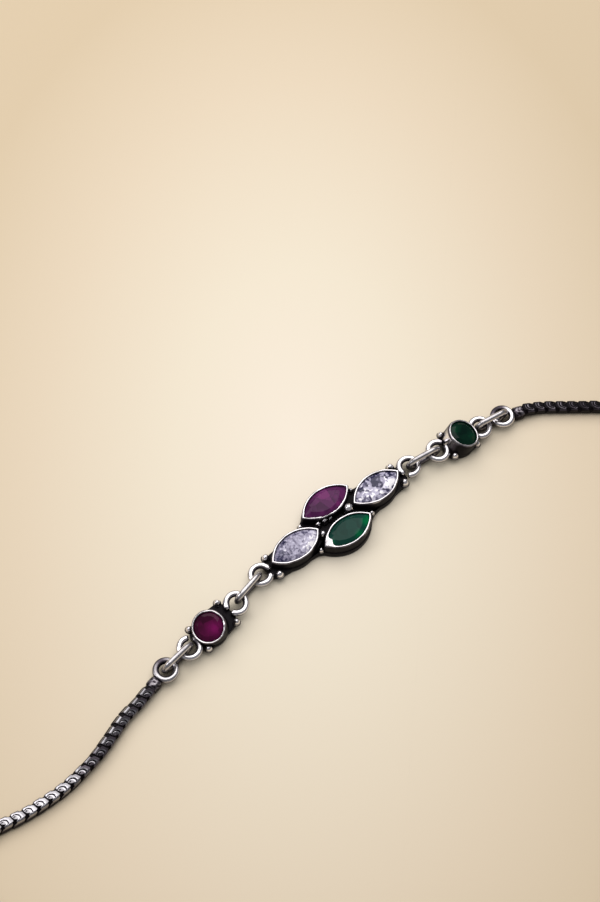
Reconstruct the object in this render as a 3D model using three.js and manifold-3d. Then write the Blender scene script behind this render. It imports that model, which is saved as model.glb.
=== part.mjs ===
// A payal: an ankle chain in oxidised silver, lying closed on a flat surface.
// Lengths are millimetres, +Z is up, and +X runs along the centre setting.
import * as THREE from "three";
import { mergeVertices } from "three/addons/utils/BufferGeometryUtils.js";
import Module from "manifold-3d";

const wasm = await Module();
wasm.setup();

// Silver sheet, wire and grains
const plateThickness = 1.05;
const plateMargin = 0.12;          // sheet showing outside a marquise bezel
const discMargin = 0.03;           // and outside a round one
const bezelWall = 0.28;
const bezelHeight = 2.75;          // rim above the back of the plate
const rimLip = 0.12;               // how far the rim is pushed over the stone
const rimRound = 0.12;
const ringRadius = 1.43;           // end ring, to the middle of its wire
const ringWire = 0.94;
const solderDepth = 0.08;          // how far a soldered piece sinks into its neighbour
const ringSides = 14;
const wireSides = 6;
const grainSides = 10;

// Cut stones
const stoneGap = 0.06;             // round the stone inside its bezel
const marquiseLength = 8;
const marquiseWidth = 4;
const roundDiameter = 4.3;
const girdleHeight = 2.35;         // lower edge of the girdle above the back of the plate
const girdleBand = 0.08;
const crownHeight = 0.4;
const culetGap = 0.16;             // between the stone's point and the plate
const tableShare = 0.66;
const starShare = 0.84;
const lowerShare = 0.3;

// Centre setting: two clear stones end to end, a red and a green one beside the middle
const centreReach = 14;            // middle of the setting to the middle of an end ring
const clearInset = 6.4;            // middle of a clear stone to the middle of the end ring
const sideOffset = 2.8;
const redShift = 0.25;
const greenShift = -0.1;
const waistReach = 5.3;            // where the plate's edge turns in between two bezels
const waistHalf = 2.5;
const tabHalf = 1.8;
const tipHalf = 1.1;
const tipGrain = { inset: 2.2, side: 1.65, diameter: 1.1 };
const waistGrain = { inset: 0.5, margin: 0.1, diameter: 0.75 };
// Places are shares of the marquise stone's length and width
const middleGrains = [
  { along: 0.29, across: 0, diameter: 1.4 },
  { along: -0.39, across: -0.2, diameter: 0.95 },
];

// The two round settings
const rubyReach = 4.6;
const emeraldReach = 3.85;
const roundTabHalf = 2.1;
const shoulderDepth = 0.75;
const bellyHalf = 0.15;            // how far the plate swells past its tabs beside the stone
const roundGrain = { inset: 1.85, side: 1.95, diameter: 0.95 };
// How each setting lies, and how its cup leans on the plate about a line near its low edge
const rubyStance = { pitch: -1.5, roll: 8, lean: -15, leanLine: -1.2, cupShift: -0.5 };
const emeraldStance = { pitch: 1.5, roll: 7, lean: 18, leanLine: 1.2, cupShift: 0 };

// Jump links, standing upright between two end rings
const linkLength = 5.9;
const linkHeight = 3.45;
const linkWire = 0.88;
const linkStations = 14;
const linkRoll = 10;                // leans the upper wire over the lower one, towards the front
const floorGap = 0.02;
const runGap = 0.1;                // between wires that slide on each other

// Snake chain
const chainWidth = 1.65;
const chainCorner = 0.34;
const chainPitch = 1.7;
const grooveDepth = 0.13;
const grooveLength = 0.2;
const capLength = 1.6;
const capWall = 0.28;
const capSides = 12;
const joinGap = 0.06;
const capLead = 1.2;               // straight stretch of chain at a cap
const routeSteps = 400;            // for measuring along a route

// S-hook
const hookWire = 1;
const hookLoop = 1.6;              // loop radius, to the middle of the wire
const hookSpread = 2.2;            // middle of the hook to the middle of a loop
const hookSteps = 30;
const hookTurns = { first: 215, step: 48, count: 6 };

// Headings, in degrees, and spans from one ring's middle to the next ring's middle
const leftRun = {
  innerHeading: 192, settingHeading: 187.2, outerHeading: 186.7, innerSpan: 5.7, outerSpan: 4.45,
};
const rightRun = {
  innerHeading: -7, settingHeading: -6.8, outerHeading: -7.6, innerSpan: 5, outerSpan: 4.1,
};
const leftChainStart = 193;
const rightChainStart = -21;
const claspPlace = { x: -21.6, y: -57.8, heading: 140.8 };

// The chains' routes past their front caps, as they lie: x, y and the roll in degrees
const leftRoute = [
  [-38.6, -4.35, 28], [-41.5, -4.85, 34], [-44.5, -5.9, 32], [-47.3, -6.85, 24], [-50.3, -7.5, 12],
  [-53.5, -7.9, 0], [-56.9, -7.85, -6], [-60.2, -7.5, -8], [-63.26, -6.84, -8], [-66.2, -6.7, -4],
  [-69, -8, 0], [-70.8, -10.7, 0], [-71.1, -13.9, 0], [-69.7, -16.8, 0], [-66.2, -19.9, 0],
  [-58.2, -26.6, 0], [-45.9, -36.9, 0], [-34.6, -46.7, 0],
];
const rightRoute = [
  [36.6, -4.8, -10], [38.8, -6.5, -12], [41.3, -8.5, -12], [44.1, -10.8, -8], [46.1, -13.3, 0],
  [46.4, -16.4, 0], [44.4, -19.7, 0], [37.6, -25.8, 0], [26.6, -35.4, 0], [15.5, -45.4, 0],
  [4.6, -55.7, 0], [-1.6, -62, 0], [-4.7, -64.9, 0], [-8.6, -66.4, 0], [-12.6, -65, 0],
];

const silver = { color: 0xb9b4b4, roughness: 0.32, metalness: 0.95 };
const darkSilver = { color: 0x6d686c, roughness: 0.42, metalness: 0.9 };
const clearGlass = { color: 0xc9cadb, roughness: 0.05, metalness: 0 };
const redGlass = { color: 0x4d1233, roughness: 0.06, metalness: 0 };
const violetGlass = { color: 0x5a3156, roughness: 0.06, metalness: 0 };
const greenGlass = { color: 0x0b3c2c, roughness: 0.06, metalness: 0 };

const rad = THREE.MathUtils.degToRad;
const ringHeight = plateThickness + ringWire / 2 - solderDepth;
// An end ring's wire runs above the lower wire of its link
const wireClear = floorGap + linkWire + runGap + ringWire / 2;
const anklet = new THREE.Group();

// Closed meshes

function meshOf(points, triangles) {
  const geometry = new THREE.BufferGeometry();
  const places = points.flatMap((p) => [p.x, p.y, p.z]);
  geometry.setAttribute("position", new THREE.Float32BufferAttribute(places, 3));
  geometry.setIndex(triangles.flat());
  return geometry;
}

// Joins equal rings of points into one closed skin; a loop returns to its first ring
function skin(rings, loop) {
  const around = rings[0].length;
  const at = (i, j) => (i % rings.length) * around + (j % around);
  const triangles = [];
  for (let i = 0; i < (loop ? rings.length : rings.length - 1); i++) {
    for (let j = 0; j < around; j++) {
      triangles.push([at(i, j), at(i, j + 1), at(i + 1, j + 1)], [at(i, j), at(i + 1, j + 1), at(i + 1, j)]);
    }
  }
  if (!loop) {
    for (let j = 1; j < around - 1; j++) {
      triangles.push([at(0, 0), at(0, j + 1), at(0, j)]);
      triangles.push([at(rings.length - 1, 0), at(rings.length - 1, j), at(rings.length - 1, j + 1)]);
    }
  }
  return faceOutward(rings.flat(), triangles);
}

function faceOutward(points, triangles) {
  const volume = triangles.reduce((sum, [a, b, c]) => {
    return sum + points[a].dot(new THREE.Vector3().crossVectors(points[b], points[c]));
  }, 0);
  return meshOf(points, volume > 0 ? triangles : triangles.map(([a, b, c]) => [a, c, b]));
}

function solidOf(geometry) {
  const bare = geometry.clone();
  bare.deleteAttribute("normal");
  bare.deleteAttribute("uv");
  const merged = mergeVertices(bare, 1e-5);
  return new wasm.Manifold(new wasm.Mesh({
    numProp: 3,
    vertProperties: Float32Array.from(merged.attributes.position.array),
    triVerts: Uint32Array.from(merged.index.array),
  }));
}

function geometryOf(solid) {
  const mesh = solid.getMesh();
  const geometry = new THREE.BufferGeometry();
  geometry.setAttribute("position", new THREE.Float32BufferAttribute(mesh.vertProperties, 3));
  geometry.setIndex(new THREE.Uint32BufferAttribute(mesh.triVerts, 1));
  return geometry;
}

function fuse(geometries) {
  return geometries.map(solidOf).reduce((whole, piece) => whole.add(piece));
}

function addPiece(parent, name, geometry, finish) {
  const piece = new THREE.Mesh(geometry, new THREE.MeshStandardMaterial(finish));
  piece.name = name;
  parent.add(piece);
  return piece;
}

// Outlines of the stones, with every point moved out by the given offset

function marquiseOutline(offset) {
  const halfLength = marquiseLength / 2;
  const halfWidth = marquiseWidth / 2;
  const arcRadius = (halfLength ** 2 + halfWidth ** 2) / (2 * halfWidth);
  const arcCentre = arcRadius - halfWidth;
  const radius = arcRadius + offset;
  const swing = Math.acos(arcCentre / radius);
  const steps = 8;
  const points = [];
  for (const side of [1, -1]) {
    for (let i = 0; i < steps; i++) {
      const angle = swing * (1 - (2 * i) / steps);
      const across = radius * Math.cos(angle) - arcCentre;
      points.push(new THREE.Vector2(side * radius * Math.sin(angle), side * across));
    }
  }
  return points;
}

function roundOutline(offset) {
  const steps = 16;
  return Array.from({ length: steps }, (_, i) => {
    const angle = (2 * Math.PI * i) / steps;
    const radius = roundDiameter / 2 + offset;
    return new THREE.Vector2(radius * Math.cos(angle), radius * Math.sin(angle));
  });
}

// Settings

const outerOffset = stoneGap + bezelWall;

// A strip of sheet bent round the stone, with its rim pushed over the girdle
function bezel(outline, foot) {
  const lipHeight = girdleHeight + girdleBand + stoneGap;
  const profile = [
    [outerOffset, foot],
    [outerOffset, bezelHeight - rimRound],
    [outerOffset - rimRound, bezelHeight],
    [stoneGap - rimLip, bezelHeight - rimRound / 2],
    [stoneGap, lipHeight + rimLip],
    [stoneGap, foot],
  ];
  const rings = profile.map(([offset, z]) => outline(offset).map((p) => new THREE.Vector3(p.x, p.y, z)));
  return skin(rings, true);
}

function sheet(points) {
  return new THREE.ExtrudeGeometry(new THREE.Shape(points), { depth: plateThickness, bevelEnabled: false });
}

function grain(x, y, diameter) {
  const ball = new THREE.SphereGeometry(diameter / 2, grainSides, grainSides / 2);
  return ball.rotateX(Math.PI / 2).translate(x, y, plateThickness + diameter / 2 - solderDepth);
}

function endRing(x, y, z) {
  return new THREE.TorusGeometry(ringRadius, ringWire / 2, wireSides, ringSides).translate(x, y, z);
}

function mirrored(halfOutline) {
  const right = halfOutline.map(([x, y]) => new THREE.Vector2(x, y));
  const left = [...halfOutline].reverse().map(([x, y]) => new THREE.Vector2(-x, y));
  const top = [...right, ...left];
  const bottom = top.map((p) => new THREE.Vector2(-p.x, -p.y));
  return [...top, ...bottom];
}

// The sheet ends under the middle of the end ring's wire, clear of its hole
const tabReach = (reach) => reach - ringRadius + ringWire / 4;

const marquisePlaces = {
  clearLeft: [clearInset - centreReach, 0],
  red: [redShift, sideOffset],
  green: [greenShift, -sideOffset],
  clearRight: [centreReach - clearInset, 0],
};

function centreSetting() {
  const tab = tabReach(centreReach);
  const backing = mirrored([
    [tab, tipHalf], [tab - tipHalf, tabHalf],
    [waistReach, waistHalf], [tipHalf, sideOffset + marquiseWidth / 2],
  ]);
  const pieces = [sheet(backing)];
  for (const [x, y] of Object.values(marquisePlaces)) {
    pieces.push(sheet(marquiseOutline(outerOffset + plateMargin)).translate(x, y, 0));
    pieces.push(bezel(marquiseOutline, plateThickness / 2).translate(x, y, 0));
  }
  for (const side of [-1, 1]) {
    pieces.push(endRing(side * centreReach, 0, ringHeight));
    for (const flank of [-1, 1]) {
      pieces.push(grain(side * (centreReach - tipGrain.inset), flank * tipGrain.side, tipGrain.diameter));
      const { inset, margin, diameter } = waistGrain;
      pieces.push(grain(side * (waistReach - inset), flank * (waistHalf - margin), diameter));
    }
  }
  for (const { along, across, diameter } of middleGrains) {
    pieces.push(grain(along * marquiseLength, across * marquiseWidth, diameter));
  }
  return geometryOf(fuse(pieces));
}

function cupPlace({ lean, leanLine, cupShift }) {
  const turn = new THREE.Matrix4().makeRotationY(rad(lean));
  const out = new THREE.Matrix4().makeTranslation(leanLine + cupShift, 0, plateThickness);
  const back = new THREE.Matrix4().makeTranslation(-leanLine, 0, -plateThickness);
  return out.multiply(turn).multiply(back);
}

// The room under the rim, which the end rings and grains don't reach into
function stoneWell(stance) {
  const shape = new THREE.Shape(roundOutline(stoneGap));
  const depth = girdleHeight - plateThickness;
  const well = new THREE.ExtrudeGeometry(shape, { depth, bevelEnabled: false });
  return solidOf(well.translate(0, 0, plateThickness).applyMatrix4(cupPlace(stance)));
}

function roundSetting(reach, stance) {
  const tab = tabReach(reach);
  const cup = bezel(roundOutline, -plateThickness).applyMatrix4(cupPlace(stance));
  const backing = mirrored([
    [tab, tipHalf], [tab - shoulderDepth, roundTabHalf], [tipHalf, roundTabHalf + bellyHalf],
  ]);
  const disc = sheet(roundOutline(outerOffset + discMargin)).translate(stance.cupShift, 0, 0);
  const pieces = [sheet(backing), disc, cup];
  for (const side of [-1, 1]) {
    pieces.push(endRing(side * reach, 0, ringHeight));
    for (const flank of [-1, 1]) {
      pieces.push(grain(side * (reach - roundGrain.inset), flank * roundGrain.side, roundGrain.diameter));
    }
  }
  const below = new THREE.BoxGeometry(4 * reach, 4 * reach, 2 * plateThickness);
  below.translate(0, 0, -plateThickness);
  return geometryOf(fuse(pieces).subtract(solidOf(below)).subtract(stoneWell(stance)));
}

// A cut stone: a table of eight sides, eight star and eight kite facets, and the girdle's halves
function cutStone(outline, culetHeight) {
  const girdle = outline(0);
  const top = girdleHeight + girdleBand;
  const table = top + crownHeight;
  const slope = crownHeight / (1 - tableShare);
  const starHeight = table - (starShare * Math.cos(Math.PI / 8) - tableShare) * slope;
  const lowerHeight = culetHeight + lowerShare * Math.cos(Math.PI / 8) * (girdleHeight - culetHeight);
  const at = (p, share, z) => new THREE.Vector3(p.x * share, p.y * share, z);
  const even = girdle.filter((_, i) => i % 2 === 0);
  const odd = girdle.filter((_, i) => i % 2 === 1);
  const points = [
    ...even.map((p) => at(p, tableShare, table)),
    ...odd.map((p) => at(p, starShare, starHeight)),
    ...girdle.map((p) => at(p, 1, top)),
    ...girdle.map((p) => at(p, 1, girdleHeight)),
    ...odd.map((p) => at(p, lowerShare, lowerHeight)),
    new THREE.Vector3(0, 0, culetHeight),
  ];
  const count = even.length;
  const t = (k) => k % count;
  const s = (k) => count + ((k + count) % count);
  const g = (j) => 2 * count + (j % (2 * count));
  const b = (j) => 4 * count + (j % (2 * count));
  const l = (k) => 6 * count + ((k + count) % count);
  const c = 7 * count;
  const faces = [];
  for (let k = 1; k < count - 1; k++) faces.push([t(0), t(k), t(k + 1)]);
  for (let k = 0; k < count; k++) {
    faces.push([t(k), s(k), t(k + 1)], [t(k), g(2 * k), s(k)], [t(k), s(k - 1), g(2 * k)]);
    faces.push([s(k), g(2 * k), g(2 * k + 1)], [s(k), g(2 * k + 1), g(2 * k + 2)]);
    faces.push([b(2 * k), l(k), b(2 * k + 1)], [b(2 * k + 1), l(k), b(2 * k + 2)]);
    faces.push([c, l(k), b(2 * k)], [c, b(2 * k), l(k - 1)]);
  }
  for (let j = 0; j < 2 * count; j++) faces.push([g(j), b(j), b(j + 1)], [g(j), b(j + 1), g(j + 1)]);
  return faceOutward(points, faces);
}

const culetHeight = plateThickness + culetGap;

// Placing along the strand

// A turned setting is lifted until it meets the surface and its rings clear the links' lower wires
function restOnSurface(group, reach) {
  group.updateMatrixWorld(true);
  const lowest = new THREE.Box3().setFromObject(group, true).min.z;
  const ends = [-1, 1].map((side) => {
    return group.localToWorld(new THREE.Vector3(side * (reach + ringRadius), 0, ringHeight)).z;
  });
  group.position.z += Math.max(-lowest, wireClear - Math.min(...ends));
}

function step(from, heading, distance) {
  return new THREE.Vector3(
    from.x + distance * Math.cos(rad(heading)), from.y + distance * Math.sin(rad(heading)), from.z,
  );
}

// An elongated ring of wire, standing round the near wires of two end rings and leaning a little
function jumpLink(name, from, to) {
  const across = linkHeight - linkWire;
  const straight = linkLength - linkHeight;
  const rings = Array.from({ length: linkStations }, (_, i) => {
    const angle = (2 * Math.PI * (i + 0.5)) / linkStations;
    const out = new THREE.Vector3(Math.cos(angle), 0, Math.sin(angle));
    const middle = out.clone().multiplyScalar(across / 2);
    middle.x += (Math.sign(out.x) * straight) / 2;
    return Array.from({ length: wireSides }, (_, j) => {
      const turn = (2 * Math.PI * j) / wireSides;
      const point = middle.clone().addScaledVector(out, (Math.cos(turn) * linkWire) / 2);
      point.y += (Math.sin(turn) * linkWire) / 2;
      return point;
    });
  });
  const group = new THREE.Group();
  const run = new THREE.Vector3().subVectors(to, from);
  addPiece(group, name, skin(rings, true), silver).rotation.x = rad(linkRoll);
  group.rotation.set(0, -Math.atan2(run.z, Math.hypot(run.x, run.y)), Math.atan2(run.y, run.x), "ZYX");
  group.position.addVectors(from, to).multiplyScalar(0.5);
  anklet.add(group);
  group.updateMatrixWorld(true);
  const low = new THREE.Box3().setFromObject(group, true).min.z;
  group.position.z += Math.max(0, floorGap - low);
}

// Round settings turn with the strand; the middles of their rings are found after the turn
function placeRoundSetting(label, stoneName, finish, centre, heading, reach, stance) {
  const group = new THREE.Group();
  group.rotation.set(rad(stance.roll), rad(stance.pitch), rad(heading), "ZYX");
  group.position.copy(centre);
  addPiece(group, label, roundSetting(reach, stance), silver);
  addPiece(group, stoneName, cutStone(roundOutline, culetHeight).applyMatrix4(cupPlace(stance)), finish);
  restOnSurface(group, reach);
  group.updateMatrixWorld(true);
  anklet.add(group);
  return [-1, 1].map((side) => group.localToWorld(new THREE.Vector3(side * reach, 0, ringHeight)));
}

const centre = new THREE.Group();
addPiece(centre, "centre_setting", centreSetting(), silver);
const marquiseNames = {
  clearLeft: ["marquise_clear_left", clearGlass],
  red: ["marquise_ruby", violetGlass],
  green: ["marquise_emerald", greenGlass],
  clearRight: ["marquise_clear_right", clearGlass],
};
for (const [key, [name, finish]] of Object.entries(marquiseNames)) {
  const [x, y] = marquisePlaces[key];
  addPiece(centre, name, cutStone(marquiseOutline, culetHeight), finish).position.set(x, y, 0);
}
anklet.add(centre);

const centreLeft = new THREE.Vector3(-centreReach, 0, ringHeight);
const centreRight = new THREE.Vector3(centreReach, 0, ringHeight);

const rubyInner = step(centreLeft, leftRun.innerHeading, leftRun.innerSpan);
const rubyShare = rubyReach * Math.cos(rad(rubyStance.pitch));
const rubyMiddle = step(rubyInner, leftRun.settingHeading, rubyShare).setZ(0);
const [rubyLeft, rubyRight] = placeRoundSetting(
  "ruby_setting", "round_ruby", redGlass, rubyMiddle, leftRun.settingHeading - 180, rubyReach, rubyStance,
);

const emeraldInner = step(centreRight, rightRun.innerHeading, rightRun.innerSpan);
const emeraldShare = emeraldReach * Math.cos(rad(emeraldStance.pitch));
const emeraldMiddle = step(emeraldInner, rightRun.settingHeading, emeraldShare).setZ(0);
const [emeraldLeft, emeraldRight] = placeRoundSetting(
  "emerald_setting", "round_emerald", greenGlass,
  emeraldMiddle, rightRun.settingHeading, emeraldReach, emeraldStance,
);

// Snake chains and their end caps

function chainOutline(roll, inset) {
  const half = chainWidth / 2 - inset;
  const corner = half - chainCorner;
  const square = [
    [half, -corner], [half, corner], [corner, half], [-corner, half],
    [-half, corner], [-half, -corner], [-corner, -half], [corner, -half],
  ];
  return square.map(([x, y]) => new THREE.Vector2(x, y).rotateAround(new THREE.Vector2(), rad(roll)));
}

// Height of the chain's middle when its section, turned by this roll, lies on the surface
function chainHeight(roll) {
  return -Math.min(...chainOutline(roll, 0).map((p) => p.y));
}

// A ring soldered to a short cap; the ring's plane is turned about the strand
function endCap(name, place, heading, ringTurn, capHeight) {
  const capRadius = chainWidth / 2 + capWall;
  const start = ringRadius + ringWire / 2 - solderDepth * 2;
  const flare = capWall / 2;
  const profile = [
    [0, 0], [capRadius - capWall, 0], [capRadius - flare, capWall],
    [capRadius - flare, capLength - 2 * capWall], [capRadius, capLength - capWall],
    [capRadius, capLength], [0, capLength],
  ].map(([r, z]) => new THREE.Vector2(r, z));
  const cap = new THREE.LatheGeometry(profile, capSides).rotateY(Math.PI / capSides).rotateZ(-Math.PI / 2);
  cap.translate(start, 0, capHeight - place.z);
  const ring = endRing(0, 0, 0).rotateX(rad(ringTurn));
  const piece = addPiece(anklet, name, geometryOf(fuse([ring, cap])), silver);
  piece.rotation.z = rad(heading);
  piece.position.copy(place);
  const mouth = step(new THREE.Vector3(place.x, place.y, capHeight), heading, start + capLength + joinGap);
  return [mouth, step(mouth, heading, capLead)];
}

// One unit of the chain is two wide sections with a narrow one at the groove
function snakeChain(name, start, route, end) {
  const plan = [...start, ...route.map(([x, y]) => new THREE.Vector3(x, y)), ...[...end].reverse()];
  const curve = new THREE.CatmullRomCurve3(plan.map((p) => p.clone().setZ(0)), false, "centripetal");
  const firstRoll = route[0][2];
  const rolls = [firstRoll, firstRoll, ...route.map(([, , roll]) => roll), 0, 0];
  const capLift = (mouth, roll) => mouth.z - chainHeight(roll);
  const lifts = [capLift(start[0], firstRoll), capLift(start[1], firstRoll), ...route.map(() => 0),
    capLift(end[1], 0), capLift(end[0], 0)];
  const share = plan.map((_, i) => arcShare(curve, i / (plan.length - 1)));
  const length = curve.getLength();
  const units = Math.round(length / chainPitch);
  const pitch = length / units;
  const rings = [];
  const section = (distance, inset) => {
    const u = THREE.MathUtils.clamp(distance / length, 0, 1);
    const middle = curve.getPointAt(u);
    const along = curve.getTangentAt(u).setZ(0).normalize();
    const side = new THREE.Vector3(along.y, -along.x, 0);
    const roll = valueAt(u, share, rolls);
    const height = chainHeight(roll) + valueAt(u, share, lifts);
    rings.push(chainOutline(roll, inset).map((p) => {
      return middle.clone().addScaledVector(side, p.x).setZ(height + p.y);
    }));
  };
  for (let i = 0; i < units; i++) {
    if (i > 0) section(i * pitch, grooveDepth);
    section(i * pitch + (i > 0 ? grooveLength : 0), 0);
    section((i + 1) * pitch - (i < units - 1 ? grooveLength : 0), 0);
  }
  addPiece(anklet, name, skin(rings, false), darkSilver);
}

function arcShare(curve, t) {
  const lengths = curve.getLengths(routeSteps);
  return lengths[Math.round(t * routeSteps)] / lengths[routeSteps];
}

// A value given at each point of the route, eased between them
function valueAt(u, share, values) {
  const i = Math.max(1, share.findIndex((s) => s >= u - 1e-9));
  const mix = THREE.MathUtils.smoothstep(u, share[i - 1], share[i]);
  return THREE.MathUtils.lerp(values[i - 1], values[i], mix);
}

const flatCap = chainWidth / 2 + capWall;
const leftRing = step(rubyLeft, leftRun.outerHeading, leftRun.outerSpan).setZ(ringHeight);
const rightRing = step(emeraldRight, rightRun.outerHeading, rightRun.outerSpan).setZ(ringHeight);
const leftStart = endCap("left_front_ring", leftRing, leftChainStart, 0, flatCap);
const rightStart = endCap("right_front_ring", rightRing, rightChainStart, 0, flatCap);

jumpLink("link_1", leftRing, rubyLeft);
jumpLink("link_2", rubyRight, centreLeft);
jumpLink("link_3", centreRight, emeraldLeft);
jumpLink("link_4", emeraldRight, rightRing);

// The back rings stand upright, so that the flat hook passes through them
const uprightRing = ringRadius + ringWire / 2 + floorGap;
const claspMiddle = new THREE.Vector3(claspPlace.x, claspPlace.y, uprightRing);
const hookReach = hookSpread + hookLoop;
const leftBack = step(claspMiddle, claspPlace.heading, hookReach);
const rightBack = step(claspMiddle, claspPlace.heading + 180, hookReach);
const leftEnd = endCap("left_back_ring", leftBack, claspPlace.heading, 90, flatCap);
const rightEnd = endCap("right_back_ring", rightBack, claspPlace.heading + 180, 90, flatCap);
snakeChain("left_chain", leftStart, leftRoute, leftEnd);
snakeChain("right_chain", rightStart, rightRoute, rightEnd);

function sHook() {
  const half = [];
  for (let i = 0; i <= hookTurns.count; i++) {
    const angle = rad(hookTurns.first - i * hookTurns.step);
    const across = hookLoop * Math.sin(angle);
    half.push(new THREE.Vector3(hookSpread + hookLoop * Math.cos(angle), across, 0));
  }
  const other = half.map((p) => new THREE.Vector3(-p.x, -p.y, 0)).reverse();
  const path = new THREE.CatmullRomCurve3([...half, ...other], false, "centripetal");
  const section = new THREE.Shape().absarc(0, 0, hookWire / 2, 0, 2 * Math.PI);
  return new THREE.ExtrudeGeometry(section, { extrudePath: path, steps: hookSteps, curveSegments: 4 });
}

const hook = addPiece(anklet, "s_hook_clasp", sHook(), silver);
hook.rotation.z = rad(claspPlace.heading);
hook.position.set(claspPlace.x, claspPlace.y, floorGap + ringWire + runGap + hookWire / 2);

// The box's bottom centre is the origin
anklet.updateMatrixWorld(true);
const extent = new THREE.Box3().setFromObject(anklet, true);
const middle = extent.getCenter(new THREE.Vector3());
anklet.position.set(-middle.x, -middle.y, -extent.min.z);

export default anklet;
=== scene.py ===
import math

import bmesh
import bpy
from mathutils import Matrix, Vector, noise


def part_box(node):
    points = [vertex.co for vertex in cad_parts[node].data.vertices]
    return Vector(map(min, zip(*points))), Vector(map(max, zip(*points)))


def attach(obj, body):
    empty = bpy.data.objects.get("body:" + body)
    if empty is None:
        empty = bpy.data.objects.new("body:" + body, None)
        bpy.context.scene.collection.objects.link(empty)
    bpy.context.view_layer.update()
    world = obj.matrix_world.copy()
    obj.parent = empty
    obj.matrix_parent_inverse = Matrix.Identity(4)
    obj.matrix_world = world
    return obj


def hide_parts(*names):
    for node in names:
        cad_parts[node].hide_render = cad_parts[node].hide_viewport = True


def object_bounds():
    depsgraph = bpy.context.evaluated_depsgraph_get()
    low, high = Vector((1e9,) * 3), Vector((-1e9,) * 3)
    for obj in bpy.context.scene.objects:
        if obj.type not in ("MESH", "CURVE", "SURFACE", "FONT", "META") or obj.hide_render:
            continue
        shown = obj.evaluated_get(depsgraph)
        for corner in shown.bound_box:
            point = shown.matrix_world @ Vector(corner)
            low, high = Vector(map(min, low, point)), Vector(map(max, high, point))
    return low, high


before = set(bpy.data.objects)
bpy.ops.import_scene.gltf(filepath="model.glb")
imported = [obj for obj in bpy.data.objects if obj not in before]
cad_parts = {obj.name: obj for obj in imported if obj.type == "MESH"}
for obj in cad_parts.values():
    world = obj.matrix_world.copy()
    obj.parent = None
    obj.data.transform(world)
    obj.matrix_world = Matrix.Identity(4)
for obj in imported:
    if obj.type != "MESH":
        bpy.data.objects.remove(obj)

# Closed ankle chain in oxidised silver with seven cut stones, lying on a pale floor.
# Sizes are in millimetres until a mesh is finished, and a finished mesh is in metres.
cadLow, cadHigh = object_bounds()
mm = 0.001


def boxOf(node):
    low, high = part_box(node)
    return low / mm, high / mm


def turned(degrees, axis="Z"):
    return Matrix.Rotation(math.radians(degrees), 4, axis)


def bearing(degrees):
    # a level direction, turned from X
    return Vector((math.cos(math.radians(degrees)), math.sin(math.radians(degrees)), 0))


def newObject(name, data):
    item = bpy.data.objects.new(name, data)
    bpy.context.scene.collection.objects.link(item)
    return item


def evaluated(item):
    # the mesh that the item's modifiers make
    bpy.context.view_layer.update()
    return bpy.data.meshes.new_from_object(item.evaluated_get(bpy.context.evaluated_depsgraph_get()))


motifLow, motifHigh = boxOf("centre_setting")
motif = (motifLow + motifHigh) / 2
motif.z = 0  # middle of the centre setting, on the floor

sheetMetal = {"plate": 1.05, "margin": 0.12, "wall": 0.28, "height": 2.75, "bevel": 0.1, "topOxide": 0.92,
              "underOxide": 0.35}
ringSize = {"radius": 1.43, "wire": 0.94, "sink": 0.08, "opening": 24, "stations": 56, "closedStations": 48,
            "sides": 20}
stoneSize = {"gap": 0.06, "length": 8.0, "width": 4.0, "round": 4.3, "girdle": 2.35, "band": 0.08,
             "crown": 0.4, "table": 0.68, "star": 0.85, "culet": 1.21}
ringHeight = sheetMetal["plate"] + ringSize["wire"] / 2 - ringSize["sink"]
wallOffset = stoneSize["gap"] + sheetMetal["wall"]


# Small mesh tools

def newMesh():
    bm = bmesh.new()
    # this attribute holds oxide together with painted shade and painted highlights
    bm.verts.layers.float.new("oxideAndPaintedLight")
    return bm


def addRings(bm, rings, oxidesAndPaintedLight, closedLoop=False, place=None):
    # rings of equal length joined into one skin; each ring has one value of oxide and painted shade or
    # highlight, or a list of them
    layer = bm.verts.layers.float["oxideAndPaintedLight"]
    made = []
    for ring, oxideAndPaintedLight in zip(rings, oxidesAndPaintedLight):
        row = [bm.verts.new(place @ Vector(point) if place else point) for point in ring]
        for k, vert in enumerate(row):
            vert[layer] = oxideAndPaintedLight[k] if isinstance(oxideAndPaintedLight, list) else oxideAndPaintedLight
        made.append(row)
    count = len(made[0])
    for i in range(len(made) if closedLoop else len(made) - 1):
        a, b = made[i], made[(i + 1) % len(made)]
        for j in range(count):
            k = (j + 1) % count
            bm.faces.new((a[j], a[k], b[k], b[j]))
    if not closedLoop:
        bm.faces.new(list(reversed(made[0])))
        bm.faces.new(made[-1])


def addWire(bm, path, up, radius, sides, closedLoop, shade, wobble=0.0, seed=0, place=None):
    # round wire along a flat path whose plane is square to up; shade(outward, upward, point) gives its oxide
    # and painted shade
    rings, oxidesAndPaintedLight = [], []
    count = len(path)
    for i, point in enumerate(path):
        before = path[(i - 1) % count] if closedLoop or i > 0 else point
        after = path[(i + 1) % count] if closedLoop or i < count - 1 else point
        along = (after - before).normalized()
        side = along.cross(up).normalized()
        rise = side.cross(along)
        thick = radius[i] if isinstance(radius, list) else radius
        ring, values = [], []
        for j in range(sides):
            turn = 2 * math.pi * j / sides
            out = side * math.cos(turn) + rise * math.sin(turn)
            swell = 1 + wobble * noise.noise((point + out * 0.4) * 0.9 + Vector((seed, 0, 0)))
            ring.append(point + out * thick * swell)
            values.append(shade(math.cos(turn), math.sin(turn), point))
        rings.append(ring)
        oxidesAndPaintedLight.append(values)
    addRings(bm, rings, oxidesAndPaintedLight, closedLoop, place)


def ringShade(outward, upward, point):
    # polished on top; black inside and darker on its outer side and below, partly oxide and partly painted
    # shade
    return 0.04 + 1.2 * max(0.0, -outward - 0.25) + 0.35 * max(0.0, outward - 0.55) + 0.35 * max(0.0, -upward)


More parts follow.
